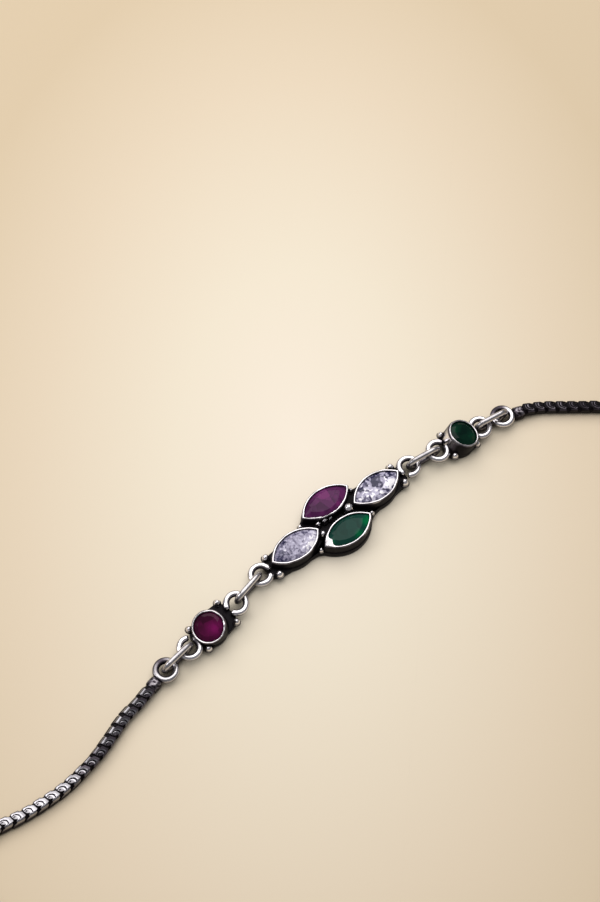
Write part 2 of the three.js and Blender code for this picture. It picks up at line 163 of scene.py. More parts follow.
# a grain's outline: share of its radius, height in radii
grainOutline = [(1.28, -0.02), (1.04, 0.08), (0.95, 0.28), (1.0, 0.6), (0.97, 0.95), (0.85, 1.3),
                (0.62, 1.62), (0.34, 1.82), (0.08, 1.9)]
grainLook = {"sides": 18, "flat": 0.98, "bump": 0.07, "bumpScale": 0.9, "foot": 0.4, "footOxide": 0.8}


def addGrain(bm, x, y, diameter, seed, lift=0.0, oxideAndPaintedLight=0.03):
    # a melted ball on a small solder foot, which is taller where the ball is held up
    look = grainLook
    radius = diameter / 2
    tall = radius * look["flat"]
    rise = lift / tall
    rings, oxidesAndPaintedLight = [], []
    for i, (r, z) in enumerate(grainOutline):
        z += rise if i else 0
        ring = []
        for j in range(look["sides"]):
            out = bearing(360 * j / look["sides"])
            at = Vector((out.x, out.y, z)) * look["bumpScale"] + Vector((seed, 3, 1))
            reach = r * radius * (1 + look["bump"] * noise.noise(at))
            ring.append((x + reach * out.x, y + reach * out.y, sheetMetal["plate"] + z * tall))
        rings.append(ring)
        oxidesAndPaintedLight.append(oxideAndPaintedLight + look["footOxide"] * max(0, look["foot"] + rise - z))
    addRings(bm, rings, oxidesAndPaintedLight)


def takeMesh(bm, name, scale=1.0):
    bmesh.ops.recalc_face_normals(bm, faces=bm.faces)
    bmesh.ops.scale(bm, vec=(scale, scale, scale), verts=bm.verts)
    mesh = bpy.data.meshes.new(name)
    bm.to_mesh(mesh)
    bm.free()
    return mesh


def addPlate(bm, outlines):
    # sheets cut to each outline and joined, with eased edges, black on top and greyer below
    made = []
    for k, outline in enumerate(outlines):
        sheet = bmesh.new()
        low = [sheet.verts.new((x, y, 0)) for x, y in outline]
        high = [sheet.verts.new((x, y, sheetMetal["plate"])) for x, y in outline]
        count = len(low)
        sheet.faces.new(list(reversed(low)))
        sheet.faces.new(high)
        for j in range(count):
            i = (j + 1) % count
            sheet.faces.new((low[j], low[i], high[i], high[j]))
        made.append(newObject(f"sheet{k}", takeMesh(sheet, f"sheet{k}")))
    for other in made[1:]:
        joint = made[0].modifiers.new("join", "BOOLEAN")
        joint.operation, joint.solver, joint.object = "UNION", "EXACT", other
    ease = made[0].modifiers.new("ease", "BEVEL")
    ease.width, ease.segments = sheetMetal["bevel"], 2
    ease.limit_method, ease.angle_limit = "ANGLE", math.radians(50)
    mesh = evaluated(made[0])
    for item in made:
        bpy.data.objects.remove(item)
    layer = bm.verts.layers.float["oxideAndPaintedLight"]
    verts = [bm.verts.new(v.co) for v in mesh.vertices]
    for vert in verts:
        vert[layer] = sheetMetal["topOxide" if vert.co.z > sheetMetal["plate"] / 3 else "underOxide"]
    for face in mesh.polygons:
        bm.faces.new([verts[i] for i in face.vertices])


def finishPiece(bm, name, node, material, slot, turn=None, smooth=True):
    # turns the piece, seats its box on the node's box, and hands it to the frame in metres
    if turn:
        bmesh.ops.transform(bm, matrix=turn, verts=bm.verts)
    low, high = boxOf(node)
    xs = [v.co.x for v in bm.verts]
    ys = [v.co.y for v in bm.verts]
    floor = min(v.co.z for v in bm.verts)
    shift = Vector(((low.x + high.x - min(xs) - max(xs)) / 2, (low.y + high.y - min(ys) - max(ys)) / 2,
                    low.z - floor))
    bmesh.ops.translate(bm, verts=bm.verts, vec=shift)
    mesh = takeMesh(bm, name, mm)
    for face in mesh.polygons:
        face.use_smooth = smooth
    mesh.materials.append(material)
    piece = newObject(name, mesh)
    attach(piece, "root")
    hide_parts(node)


# Finishes

def setInputs(tree, node, inputs):
    # each input is given a value or joined to another node's output
    for key, value in inputs.items():
        if isinstance(value, bpy.types.NodeSocket):
            tree.links.new(value, node.inputs[key])
        else:
            node.inputs[key].default_value = value


def addNode(tree, kind, inputs=(), **settings):
    node = tree.nodes.new(kind)
    for key, value in settings.items():
        setattr(node, key, value)
    setInputs(tree, node, dict(inputs))
    return node


def nodeMaterial(name):
    material = bpy.data.materials.new(name)
    material.use_nodes = True
    tree = material.node_tree
    tree.nodes.clear()
    shader = addNode(tree, "ShaderNodeBsdfPrincipled")
    addNode(tree, "ShaderNodeOutputMaterial", {0: shader.outputs[0]})
    return material, tree, shader


def mathNode(tree, kind, a, b=None, clamp=False):
    inputs = {0: a} if b is None else {0: a, 1: b}
    return addNode(tree, "ShaderNodeMath", inputs, operation=kind, use_clamp=clamp).outputs[0]


def rangeNode(tree, value, source, target, kind="SMOOTHSTEP"):
    # carries a value from one range to another
    inputs = {"Value": value, "From Min": source[0], "From Max": source[1], "To Min": target[0],
              "To Max": target[1]}
    return addNode(tree, "ShaderNodeMapRange", inputs, interpolation_type=kind).outputs["Result"]


def noiseNode(tree, scale, detail, rough=0.5):
    coords = addNode(tree, "ShaderNodeTexCoord").outputs["Object"]
    inputs = {"Vector": coords, "Scale": scale, "Detail": detail, "Roughness": rough}
    return addNode(tree, "ShaderNodeTexNoise", inputs).outputs["Fac"]


def rampNode(tree, value, stops):
    node = addNode(tree, "ShaderNodeValToRGB", {0: value})
    while len(node.color_ramp.elements) < len(stops):
        node.color_ramp.elements.new(0.5)
    for element, (place, colour) in zip(node.color_ramp.elements, stops):
        element.position = place
        element.color = (*colour, 1)
    return node.outputs[0]


# side is the range of upward facing, from 0.5 down to -0.35, over which painted shade darkens the metal
silverLook = {
    "wornShare": 0.48, "stained": (0.08, 0.068, 0.082), "dark": (0.006, 0.0045, 0.006),
    "stops": (0.0, 0.3, 0.6, 0.88), "recess": 0.00055, "recessOxide": 1.35, "side": (0.5, -0.35),
    "blotchScale": 700, "blotch": 0.4, "coat": (0.45, 0.85), "coatMetal": 0.1, "gloss": 0.06,
    "roughness": 0.05, "oxideRoughness": 0.25, "grainScale": 5200, "grainRoughness": 0.3,
    "lumpScale": 900, "grainHeight": 0.4, "bump": 0.3, "bumpDepth": 0.000014,
}


def silver(name, bright, paintedSideShade, woven=False):
    # bright where it is handled, black with oxide in the recesses, and darker down the sides and underneath
    # with painted shade
    look = silverLook
    material, tree, shader = nodeMaterial(name)

    def scaled(value, factor):
        return mathNode(tree, "MULTIPLY", value, factor)

    def total(a, b, clamp=False):
        return mathNode(tree, "ADD", a, b, clamp)

    recess = addNode(tree, "ShaderNodeAmbientOcclusion", {"Distance": look["recess"]}, only_local=True,
                     samples=8)
    hidden = scaled(mathNode(tree, "SUBTRACT", 1.0, recess.outputs["AO"]), look["recessOxide"])
    dark = total(addNode(tree, "ShaderNodeAttribute", attribute_name="oxideAndPaintedLight").outputs["Fac"], hidden)
    if woven:
        dark = total(dark, addNode(tree, "ShaderNodeAttribute", attribute_name="tone").outputs["Fac"])
    # painted shade: the metal darkens as it faces sideways and down, where less light falls
    normal = addNode(tree, "ShaderNodeNewGeometry").outputs["Normal"]
    upward = addNode(tree, "ShaderNodeSeparateXYZ", {0: normal}).outputs["Z"]
    dark = total(dark, rangeNode(tree, upward, look["side"], (0, paintedSideShade)))
    blotch = mathNode(tree, "SUBTRACT", noiseNode(tree, look["blotchScale"], 3.0), 0.5)
    dark = total(dark, scaled(blotch, look["blotch"]), True)
    worn = [look["wornShare"] * value for value in bright]
    colours = (bright, worn, look["stained"], look["dark"])
    grain = noiseNode(tree, look["grainScale"], 4.0, 0.6)
    rough = total(scaled(dark, look["oxideRoughness"]), scaled(grain, look["grainRoughness"]))
    height = total(noiseNode(tree, look["lumpScale"], 3.0), scaled(grain, look["grainHeight"]))
    bump = addNode(tree, "ShaderNodeBump", {"Strength": look["bump"], "Distance": look["bumpDepth"],
                                            "Height": height})
    setInputs(tree, shader, {
        "Base Color": rampNode(tree, dark, list(zip(look["stops"], colours))),
        "Metallic": rangeNode(tree, dark, look["coat"], (1.0, look["coatMetal"]), "LINEAR"),
        "Specular IOR Level": look["gloss"], "Roughness": total(rough, look["roughness"]),
        "Normal": bump.outputs[0],
    })
    return material


# Each stone: cell size and stretch of the facets seen in it, their contrast and colours, and patches of
# painted highlight (positive strength) and painted shade (negative), each by its place from the middle of the
# centre setting in mm, reach and strength
stoneLook = {
    "clearLeft": {"cells": 3300, "contrast": 0.8, "shift": -0.05, "gloss": 0.3, "colours": "clear",
                  "lightAndShadePatches": [((-5.6, -1.0), 1.7, 0.5), ((-10.4, -0.9), 1.9, -0.3),
                              ((-7.4, 0.9), 2.4, -0.06)]},
    "clearRight": {"cells": 2500, "contrast": 1.5, "shift": -0.12, "gloss": 0.3, "colours": "clear",
                   "lightAndShadePatches": [((9.6, -0.7), 1.5, 0.35), ((5.2, -0.2), 1.4, 0.45), ((8.0, 0.7), 1.7, -0.4),
                               ((7.2, -1.1), 1.0, 0.25)]},
    "violetStone": {"cells": 620, "contrast": 0.55, "shift": -0.02, "gloss": 0.12, "colours": "violet",
                    "lightAndShadePatches": [((1.9, 2.4), 0.9, 0.25), ((1.5, 1.4), 0.8, 0.3), ((-1.3, 1.7), 0.8, 0.18),
                                ((-1.8, 3.4), 1.4, -0.12)]},
    "greenStone": {"cells": 620, "contrast": 0.4, "shift": -0.15, "gloss": 0.12, "colours": "green",
                   "lightAndShadePatches": [((2.8, -3.4), 1.7, 0.6), ((0.8, -4.5), 1.3, 0.5), ((-3.2, -2.9), 0.8, 0.35)]},
    "redRound": {"cells": 800, "contrast": 0.5, "shift": -0.14, "gloss": 0.1, "colours": "red",
                 "lightAndShadePatches": [((-24.6, -3.1), 1.6, 0.4), ((-26.2, -1.4), 1.2, -0.12)]},
    "greenRound": {"cells": 700, "contrast": 0.4, "shift": -0.2, "gloss": 0.1, "colours": "emerald",
                   "lightAndShadePatches": [((22.2, -0.5), 1.6, 0.2), ((24.2, -2.4), 0.9, 0.12)]},
}
stoneColours = {
    "clear": [(0.0, (0.018, 0.017, 0.05)), (0.22, (0.08, 0.075, 0.13)), (0.45, (0.27, 0.25, 0.34)),
              (0.72, (0.5, 0.48, 0.6)), (0.95, (1.0, 0.98, 1.0))],
    "violet": [(0.0, (0.022, 0.003, 0.016)), (0.4, (0.06, 0.012, 0.055)), (0.65, (0.12, 0.02, 0.1)),
               (1.0, (0.26, 0.03, 0.17))],
    "green": [(0.0, (0.002, 0.02, 0.014)), (0.4, (0.005, 0.042, 0.03)), (0.7, (0.001, 0.085, 0.035)),
              (1.0, (0.0, 0.17, 0.045))],
    "red": [(0.0, (0.012, 0.002, 0.007)), (0.4, (0.042, 0.004, 0.02)), (0.7, (0.1, 0.005, 0.05)),
            (1.0, (0.2, 0.008, 0.1))],
    "emerald": [(0.0, (0.0, 0.004, 0.003)), (0.4, (0.001, 0.011, 0.007)), (0.7, (0.002, 0.03, 0.014)),
                (1.0, (0.004, 0.07, 0.02))],
}


# lean is how strongly the painted facet shading follows the way a facet leans
glassLook = {"coarse": 0.45, "coarseShare": 0.45, "lean": -0.2, "roughness": 0.06}


def cellNode(tree, coords, scale):
    cells = addNode(tree, "ShaderNodeTexVoronoi", {"Vector": coords, "Scale": scale})
    return addNode(tree, "ShaderNodeSeparateColor", {0: cells.outputs["Color"]}).outputs[0]


def patchNode(tree, coords, place, reach, strength):
    # a soft patch of painted light round a point, lighter for a positive strength and darker for a negative
    # one
    middle = [(motif[i] + place[i]) * mm for i in range(2)] + [0]
    away = addNode(tree, "ShaderNodeVectorMath", {0: coords, 1: middle}, operation="DISTANCE")
    return rangeNode(tree, away.outputs["Value"], (0, reach * mm), (strength, 0))


def cutGlass(name):
    # painted reflections: the facets of the back, seen through the table, are painted as small cells of light
    # and dark
    look = stoneLook[name]
    material, tree, shader = nodeMaterial(name + "Glass")
    coords = addNode(tree, "ShaderNodeTexCoord").outputs["Object"]
    coords = addNode(tree, "ShaderNodeVectorMath", {0: coords, 1: (1, 1, 0)}, operation="MULTIPLY").outputs[0]
    share = glassLook["coarseShare"]
    fine = mathNode(tree, "MULTIPLY", cellNode(tree, coords, look["cells"]), 1 - share)
    coarse = mathNode(tree, "MULTIPLY", cellNode(tree, coords, look["cells"] * glassLook["coarse"]), share)
    value = mathNode(tree, "SUBTRACT", mathNode(tree, "ADD", fine, coarse), 0.5)
    value = mathNode(tree, "MULTIPLY", value, look["contrast"])
    value = mathNode(tree, "ADD", value, 0.5 + look["shift"])
    for place, reach, strength in look["lightAndShadePatches"]:
        value = mathNode(tree, "ADD", value, patchNode(tree, coords, place, reach, strength))
    # painted shading by facet: facets leaning one way are lighter and those leaning the other way darker
    normal = addNode(tree, "ShaderNodeNewGeometry").outputs["True Normal"]
    split = addNode(tree, "ShaderNodeSeparateXYZ", {0: normal}).outputs
    lean = mathNode(tree, "MULTIPLY", mathNode(tree, "SUBTRACT", split["Y"], split["X"]), glassLook["lean"])
    colour = rampNode(tree, mathNode(tree, "ADD", value, lean, True), stoneColours[look["colours"]])
    setInputs(tree, shader, {"Base Color": colour, "Roughness": glassLook["roughness"],
                             "Specular IOR Level": look["gloss"]})
    return material


# both silver materials carry painted shade down their sides and underneath
silverAndPaintedShade = silver("silverWornAndShaded", (0.83, 0.8, 0.815), 0.5)
chainSilverAndPaintedShade = silver("silverWoven", (0.46, 0.45, 0.475), 0.3, True)
print("finishes made")


# Outlines of the stones, moved out by an offset; steps count half a marquise or a quarter of a round

def marquiseOutline(offset, steps=44):
    halfLength, halfWidth = stoneSize["length"] / 2, stoneSize["width"] / 2
    arcRadius = (halfLength ** 2 + halfWidth ** 2) / (2 * halfWidth)
    arcCentre = arcRadius - halfWidth
    radius = arcRadius + offset
    swing = math.acos(arcCentre / radius)
    points = []
    for side in (1, -1):
        for i in range(steps):
            angle = swing * (1 - 2 * i / steps)
            points.append((side * radius * math.sin(angle), side * (radius * math.cos(angle) - arcCentre)))
    return points


def roundOutline(offset, steps=40):
    radius = stoneSize["round"] / 2 + offset
    return [(radius * math.cos(math.pi * i / steps), radius * math.sin(math.pi * i / steps))
            for i in range(2 * steps)]


bezelLook = {"wave": 0.06, "rimWave": 0.04, "stain": 0.34, "wallOxide": 0.8, "cupOxide": 0.95,
             "cupFoot": 0.15}
# the strip's outline from its foot to the inside of its rim: offset from the wall, height from the top, oxide
bezelRim = [(-0.02, -0.3, 0.75), (-0.07, -0.15, 0.6), (-0.13, -0.06, 0.4), (-0.18, -0.01, 0.14),
            (-0.22, 0.0, 0.07), (-0.3, -0.01, 0.07), (-0.35, -0.05, 0.25), (-0.38, -0.12, 0.6),
            (-0.28, -0.22, 0.95)]


def addBezel(bm, outline, foot, place, seed, wallShade, ripple=None, fold=None):
    # a strip bent round the stone, its rim rubbed down over the girdle and left a little uneven
    top = sheetMetal["height"]
    profile = [(wallOffset + 0.03, foot, 1.0), (wallOffset, foot + 0.25, None), (wallOffset, top - 0.6, None)]
    profile += [(wallOffset + offset, top + z, oxideAndPaintedLight) for offset, z, oxideAndPaintedLight in bezelRim]
    profile += [(stoneSize["gap"], foot, 1.0)]
    count = len(outline(0))
    rings, oxidesAndPaintedLight = [], []
    for offset, z, oxideAndPaintedLight in profile:
        ring, values = [], []
        for k, (x, y) in enumerate(outline(offset)):
            t = 2 * math.pi * k / count
            turn = Vector((math.cos(t) * 2.2, math.sin(t) * 2.2, seed * 7.3))
            share = max(0.0, (z - foot) / (top - foot))
            sway = bezelLook["wave"] * noise.noise(turn) * share
            lift = bezelLook["rimWave"] * noise.noise(turn * 1.7 + Vector((5, 1, 2))) * share
            inner = z > top - 0.16 and offset < 0.16
            if ripple and inner:
                sway += ripple["depth"] * max(0.0, math.cos(t - ripple["turn"])) * noise.noise(turn * 5)
            if fold and inner:
                away = math.hypot(x - fold["x"], y - fold["y"])
                sway -= fold["reach"] * math.exp(-(away / fold["spread"]) ** 2)
            px, py = outline(offset + sway)[k]
            ring.append((px, py, z + lift))
            stain = bezelLook["stain"] * noise.noise(turn * 1.3 + Vector((1, 8, 3)))
            values.append(wallShade(t) if oxideAndPaintedLight is None else oxideAndPaintedLight + stain)
        rings.append(ring)
        oxidesAndPaintedLight.append(values)
    addRings(bm, rings, oxidesAndPaintedLight, True, place)


def mirrored(half):
    left = [(-x, y) for x, y in reversed(half)]
    top = half + left
    return list(reversed(top + [(-x, -y) for x, y in top]))


def tabReach(reach):
    return reach - ringSize["radius"] + ringSize["wire"] / 4


# how thick an open ring's wire is at its last points
wireTip = {0: 0.6, 1: 0.88, 2: 0.98}


def addEndRing(bm, centre, gapHeading, seed):
    # an open ring whose two thinned ends nearly meet at the gap
    last, opening = ringSize["stations"], ringSize["opening"]
    path, thick = [], []
    for i in range(last + 1):
        angle = gapHeading + opening / 2 + (360 - opening) * i / last
        path.append(centre + bearing(angle) * ringSize["radius"])
        thick.append(ringSize["wire"] / 2 * wireTip.get(min(i, last - i), 1.0))
    addWire(bm, path, Vector((0, 0, 1)), thick, ringSize["sides"], False, ringShade, 0.05, seed)


# tip grains: inset from the end, place across, diameter; waist grains: inset, margin, diameter;
# middle grains: x, y, diameter, lift
centreLook = {
    "reach": 14.0, "clear": 7.6, "side": 2.8, "redShift": 0.25, "greenShift": -0.1,
    "waistReach": 5.3, "waistHalf": 2.5, "tabHalf": 1.8, "tipHalf": 1.1,
    "tipGrain": (2.2, 1.65, 1.1), "waistGrain": (0.5, 0.1, 0.75),
    "middleGrains": ((2.32, 0, 1.5, 0.55), (-3.12, -0.8, 1.0, 0.5), (-2.6, 0.95, 0.8, 0.42),
                     (-1.5, 0.82, 0.85, 0.45), (-0.6, 0.6, 0.7, 0.45)),
    "grainOxide": -0.9, "gaps": (-19, 214),
}
# the stones' middles, by node
marquisePlaces = {
    "marquise_clear_left": (-centreLook["clear"], 0), "marquise_clear_right": (centreLook["clear"], 0),
    "marquise_ruby": (centreLook["redShift"], centreLook["side"]),
    "marquise_emerald": (centreLook["greenShift"], -centreLook["side"]),
}
# the rim ripples beside the violet stone and is folded over the green stone's tip
rimRipples = {"marquise_ruby": {"depth": 0.2, "turn": 3.9}}
rimFolds = {"marquise_emerald": {"x": -stoneSize["length"] / 2, "y": 0.2, "reach": 0.85, "spread": 0.85}}


def centreSetting():
    bm = newMesh()
    c = centreLook
    tab = tabReach(c["reach"])
    corners = [(tab, c["tipHalf"]), (tab - c["tipHalf"], c["tabHalf"]), (c["waistReach"], c["waistHalf"]),
               (c["tipHalf"], c["side"] + stoneSize["width"] / 2)]
    outlines = [mirrored(corners)]
    for x, y in marquisePlaces.values():
        edge = marquiseOutline(wallOffset + sheetMetal["margin"], 20)
        outlines.append([(px + x, py + y) for px, py in reversed(edge)])
    addPlate(bm, outlines)
    for seed, (name, (x, y)) in enumerate(marquisePlaces.items()):
        addBezel(bm, marquiseOutline, sheetMetal["plate"] / 2, Matrix.Translation((x, y, 0)), seed + 1,
                 lambda t: bezelLook["wallOxide"], rimRipples.get(name), rimFolds.get(name))
    for side in (-1, 1):
        addEndRing(bm, Vector((side * c["reach"], 0, ringHeight)), c["gaps"][side > 0], side + 4)
        for flank in (-1, 1):
            inset, across, diameter = c["tipGrain"]
            addGrain(bm, side * (c["reach"] - inset), flank * across, diameter, side + 3 * flank)
            inset, margin, diameter = c["waistGrain"]
            addGrain(bm, side * (c["waistReach"] - inset), flank * (c["waistHalf"] - margin), diameter,
                     side + 5 * flank)
    for seed, (x, y, diameter, lift) in enumerate(c["middleGrains"]):
        addGrain(bm, x, y, diameter, 11 + seed, lift, c["grainOxide"])
    finishPiece(bm, "centreSetting", "centre_setting", silverAndPaintedShade, "silver", Matrix.Translation(motif))


# bright is the direction of a painted highlight down one side of the cup's wall, where it has one
roundLook = {
    "rubySetting": {"node": "ruby_setting", "reach": 4.6, "heading": 7.2, "pitch": -1.5, "roll": 8,
                    "lean": -15, "line": -1.2, "shift": -0.5, "gaps": (40, 186), "bright": None},
    "emeraldSetting": {"node": "emerald_setting", "reach": 3.85, "heading": -6.8, "pitch": 1.5, "roll": 7,
                       "lean": 18, "line": 1.2, "shift": 0.0, "gaps": (20, 180), "bright": 2.9},
}
# grain: inset from the end, place across, diameter
roundPlate = {"tabHalf": 2.1, "tipHalf": 1.1, "shoulder": 0.75, "belly": 0.15, "margin": 0.03,
              "grain": (1.85, 1.95, 0.95)}


def cupPlace(look):
    # a cup leans on its plate about a line near its low edge
    thick = sheetMetal["plate"]
    return (Matrix.Translation((look["line"] + look["shift"], 0, thick)) @ turned(look["lean"], "Y")
            @ Matrix.Translation((-look["line"], 0, -thick)))


def standing(look):
    return turned(look["heading"]) @ turned(look["pitch"], "Y") @ turned(look["roll"], "X")


def roundSetting(name, look, seed):
    bm = newMesh()
    p = roundPlate
    reach, bright = look["reach"], look["bright"]
    tab = tabReach(reach)
    backing = mirrored([(tab, p["tipHalf"]), (tab - p["shoulder"], p["tabHalf"]),
                        (p["tipHalf"], p["tabHalf"] + p["belly"])])
    disc = [(x + look["shift"], y) for x, y in reversed(roundOutline(wallOffset + p["margin"], 20))]
    addPlate(bm, [backing, disc])

    def wallShade(turn):
        # painted highlight: the wall is lighter towards the heading bright, as a reflection
        paintedHighlight = 0 if bright is None else max(0.0, math.cos(turn - bright)) ** 4
        return bezelLook["cupOxide"] - paintedHighlight

    addBezel(bm, roundOutline, bezelLook["cupFoot"], cupPlace(look), seed, wallShade)
    for side, gap in zip((-1, 1), look["gaps"]):
        addEndRing(bm, Vector((side * reach, 0, ringHeight)), gap, seed + side)
        for flank in (-1, 1):
            inset, across, diameter = p["grain"]
            addGrain(bm, side * (reach - inset), flank * across, diameter, seed + side + 2 * flank)
    finishPiece(bm, name, look["node"], silverAndPaintedShade, "silver", standing(look))


centreSetting()
for seed, (name, look) in enumerate(roundLook.items()):
    roundSetting(name, look, 20 + seed * 5)
print("settings made")


# Jump links: long ovals of wire standing on edge between two end rings

linkSize = {"length": 5.9, "height": 3.45, "wire": 0.88, "roll": 10, "stations": 60, "sides": 14}


def linkShade(outward, upward, point):
    # the lower wire and the inside of the loop are black, partly oxide and partly painted shade
    below = min(1.0, max(0.0, 0.2 - point.z / linkSize["height"]))
    return 0.05 + 0.8 * below + 0.4 * max(0.0, -outward - 0.3)


def jumpLink(name, node, heading, tilt, seed):
    bm = newMesh()
    s = linkSize
    across = s["height"] - s["wire"]
    straight = s["length"] - s["height"]
    path = []
    for i in range(s["stations"]):
        angle = 2 * math.pi * (i + 0.5) / s["stations"]
        out = Vector((math.cos(angle), 0, math.sin(angle)))
        middle = out * across / 2
        middle.x += math.copysign(straight / 2, out.x)
        path.append(middle)
    addWire(bm, path, Vector((0, 1, 0)), s["wire"] / 2, s["sides"], True, linkShade, 0.1, seed)
    turn = turned(heading) @ turned(-tilt, "Y") @ turned(s["roll"], "X")
    finishPiece(bm, name, node, silverAndPaintedShade, "silver", turn)


# each link's heading and tilt
linkPlaces = {"link_1": (6.7, 3.1), "link_2": (14.0, -4.8), "link_3": (-9.0, 4.8), "link_4": (-7.6, -3.1)}
for seed, (node, (heading, tilt)) in enumerate(linkPlaces.items()):
    jumpLink("jumpLink" + node[-1], node, heading, tilt, 31 + seed * 3)
print("links made")


# Cut stones

def addStone(bm, outline):
    # table, star, main and girdle facets above; lower girdle and main facets below
    girdle = outline(0, 16)
    low, high = stoneSize["girdle"], stoneSize["girdle"] + stoneSize["band"]
    table = high + stoneSize["crown"]
    slope = stoneSize["crown"] / (1 - stoneSize["table"])
    starHeight = table - (stoneSize["star"] * 0.985 - stoneSize["table"]) * slope
    count = len(girdle)
    half = count // 2

    def ring(points, share, z):
        return [bm.verts.new((x * share, y * share, z)) for x, y in points]

    even, odd = girdle[0::2], girdle[1::2]
    top = ring(even, stoneSize["table"], table)
    star = ring(odd, stoneSize["star"], starHeight)
    upper, lower = ring(girdle, 1, high), ring(girdle, 1, low)
    under = ring(even, 0.42, low - (low - stoneSize["culet"]) * 0.62)
    point = bm.verts.new((0, 0, stoneSize["culet"]))
    bm.faces.new(top)
    for k in range(half):
        n = (k + 1) % half
        g0, g1, g2 = 2 * k, 2 * k + 1, (2 * k + 2) % count
        for corners in ((top[k], star[k], top[n]), (top[k], upper[g0], star[k]), (star[k], upper[g2], top[n]),
                        (star[k], upper[g0], upper[g1]), (star[k], upper[g1], upper[g2]),
                        (upper[g0], lower[g0], lower[g1], upper[g1]),
                        (upper[g1], lower[g1], lower[g2], upper[g2]),
                        (lower[g0], under[k], lower[g1]), (lower[g1], under[n], lower[g2]),
                        (lower[g1], under[k], under[n]), (under[k], point, under[n])):
            bm.faces.new(corners)


# each stone's node, slot and round setting, if it has one
stones = {
    "clearLeft": ("marquise_clear_left", "clear_stone", None),
    "clearRight": ("marquise_clear_right", "clear_stone", None),
    "violetStone": ("marquise_ruby", "violet_stone", None),
    "greenStone": ("marquise_emerald", "green_stone", None),
    "redRound": ("round_ruby", "red_stone", "rubySetting"),
    "greenRound": ("round_emerald", "green_stone", "emeraldSetting"),
}
for name, (node, slot, setting) in stones.items():
    bm = newMesh()
    addStone(bm, roundOutline if setting else marquiseOutline)
    turn = standing(roundLook[setting]) @ cupPlace(roundLook[setting]) if setting else None
    finishPiece(bm, name, node, cutGlass(name), slot, turn, False)
print("stones made")


# End rings with their caps, and the hook

capSize = {"length": 1.6, "wall": 0.28, "sides": 48, "steps": 8, "square": 5, "corner": 1.1, "fit": 0.9,
           "dents": 0.17, "oxideAndPaintedLight": 0.42, "dentOxide": 1.1}
chainSize = {"width": 1.65, "corner": 0.34, "pitch": 1.7, "joinGap": 0.06, "lead": 1.2, "coreInset": 0.15,
             "rollSpread": 0.03, "sizeSpread": 0.03}
capStart = ringSize["radius"] + ringSize["wire"] / 2 - 2 * ringSize["sink"]
capHeight = chainSize["width"] / 2 + capSize["wall"]


# How tarnished each front ring is, how much darker its dark side, and that side's direction from the chain
capDarkening = {"leftFrontRing": (0.26, 0.35, 263), "rightFrontRing": (0.06, 0.7, 115)}


def capShade(name):
    base, darker, heading = capDarkening.get(name, (0.2, 0, 0))

    # darker inside and below, partly oxide and partly painted shade, and one side darker by the given amount
    def shade(outward, upward, point):
        facing = math.cos(math.atan2(point.y, point.x) - math.radians(heading))
        return base + darker * max(0.0, facing) + 0.7 * max(0.0, -outward - 0.3) + 0.35 * max(0.0, -upward)

    return shade


def endCap(name, node, heading, ringTurn, ringZ, seed):
    # a closed ring with a rough squarish sleeve soldered to it
    bm = newMesh()
    count = ringSize["closedStations"]
    path = [bearing(360 * i / count) * ringSize["radius"] for i in range(count)]
    addWire(bm, path, Vector((0, 0, 1)), ringSize["wire"] / 2, ringSize["sides"], True, capShade(name), 0.05,
            seed, turned(ringTurn, "X"))
    c = capSize
    long = c["length"]
    profile = [(0.05, 0), (0.6, 0.02), (0.84, 0.1), (0.93, 0.3)]
    profile += [(0.93, 0.3 + (long - 0.45) * i / c["steps"]) for i in range(1, c["steps"] + 1)]
    profile += [(0.9, long - 0.05), (0.82, long), (0.6, long), (0.5, long - 0.1), (0.05, long - 0.1)]
    rings, oxidesAndPaintedLight = [], []
    for share, x in profile:
        ring, values = [], []
        for j in range(c["sides"]):
            out = bearing(360 * j / c["sides"])
            square = (abs(out.x) ** c["square"] + abs(out.y) ** c["square"]) ** (-1 / c["square"])
            across = out * min(square, c["corner"]) * c["fit"]
            rough = abs(noise.noise(Vector((x * 2.1, across.x * 1.9, across.y * 1.9 + seed))))
            spread = share * capHeight * (1 - c["dents"] * rough * (share > 0.8))
            ring.append((capStart + x, spread * across.x, capHeight - ringZ + spread * across.y))
            values.append(c["oxideAndPaintedLight"] + c["dentOxide"] * rough if x < long else 1.0)
        rings.append(ring)
        oxidesAndPaintedLight.append(values)
    addRings(bm, rings, oxidesAndPaintedLight)
    finishPiece(bm, name, node, silverAndPaintedShade, "silver", turned(heading))


claspPlace = {"x": -21.6, "y": -57.8, "heading": 140.8}
hookSize = {"wire": 1.0, "loop": 1.6, "spread": 2.2, "first": 215, "step": 48, "count": 6,
            "sides": 16}
uprightRing = ringSize["radius"] + ringSize["wire"] / 2 + 0.02
# each ring's node, heading of its chain, turn of the ring about that heading, and height of its middle
caps = {
    "leftFrontRing": ("left_front_ring", 193, 0, ringHeight),
    "rightFrontRing": ("right_front_ring", -21, 0, ringHeight),
    "leftBackRing": ("left_back_ring", claspPlace["heading"], 90, uprightRing),
    "rightBackRing": ("right_back_ring", claspPlace["heading"] + 180, 90, uprightRing),
}
for seed, (name, (node, heading, ringTurn, ringZ)) in enumerate(caps.items()):
    endCap(name, node, heading, ringTurn, ringZ, 41 + seed)


